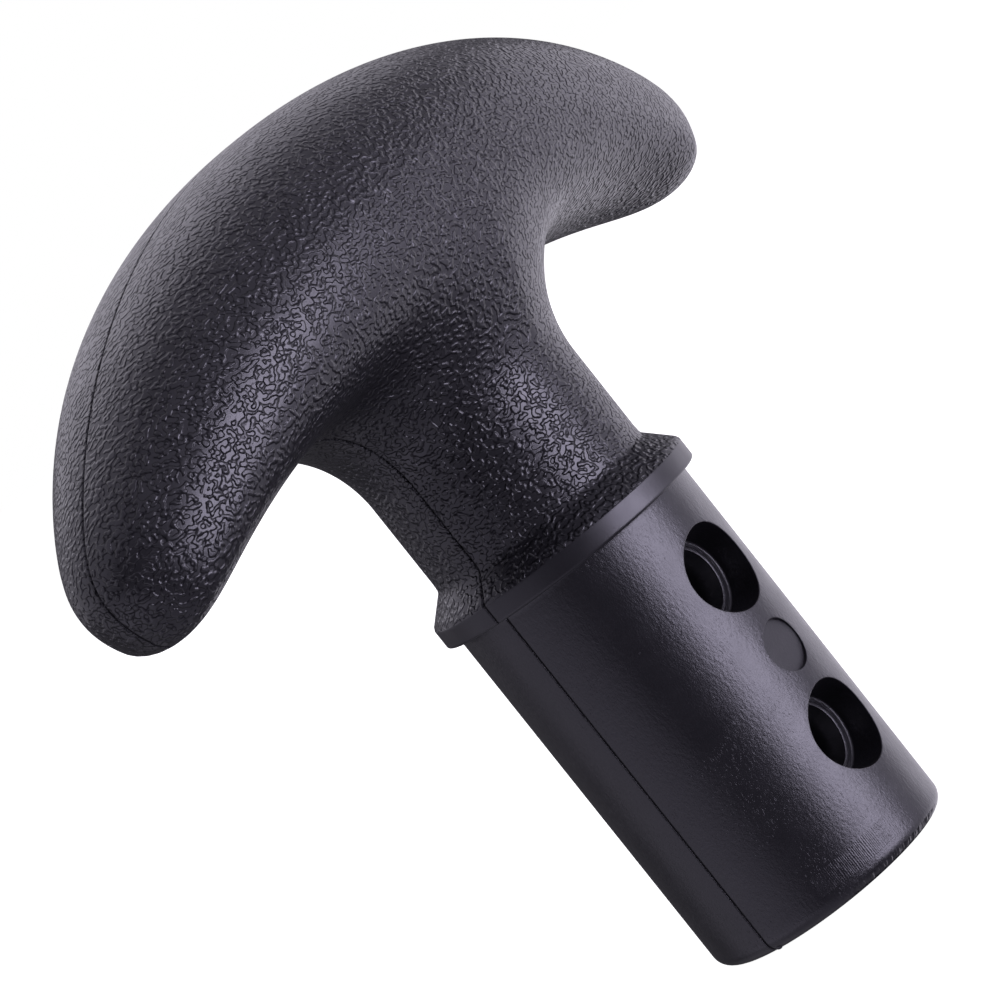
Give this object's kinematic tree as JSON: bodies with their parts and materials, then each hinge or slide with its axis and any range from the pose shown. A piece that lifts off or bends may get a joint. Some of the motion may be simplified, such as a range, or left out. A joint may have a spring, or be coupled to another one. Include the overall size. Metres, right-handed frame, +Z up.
{
  "type": "tube handle t grip",
  "caption": "T-shaped palm grip on a short neck, with a flange band and a smooth plug that slides into a tube and is closed by recessed screws.",
  "frame": {"origin": "on the stem axis, at the flange face that seats on the tube end", "axes": "+Z up the stem towards the head, +X along the T, the screw wells open towards -Y; the shells part on the plane y = 0"},
  "size_m": [0.1156, 0.039, 0.0978],
  "materials": {
    "shell": "charcoal moulding: worm-like leather grain on head and neck, smooth satin band and plug",
    "steel": "dull stainless fasteners",
    "brass": "turned brass"
  },
  "bodies": {
    "root": {"front_shell": "shell", "rear_shell": "shell", "upper_screw": "steel", "lower_screw": "steel", "upper_washer": "steel", "lower_washer": "steel", "upper_insert": "brass", "lower_insert": "brass"}
  },
  "joints": []
}
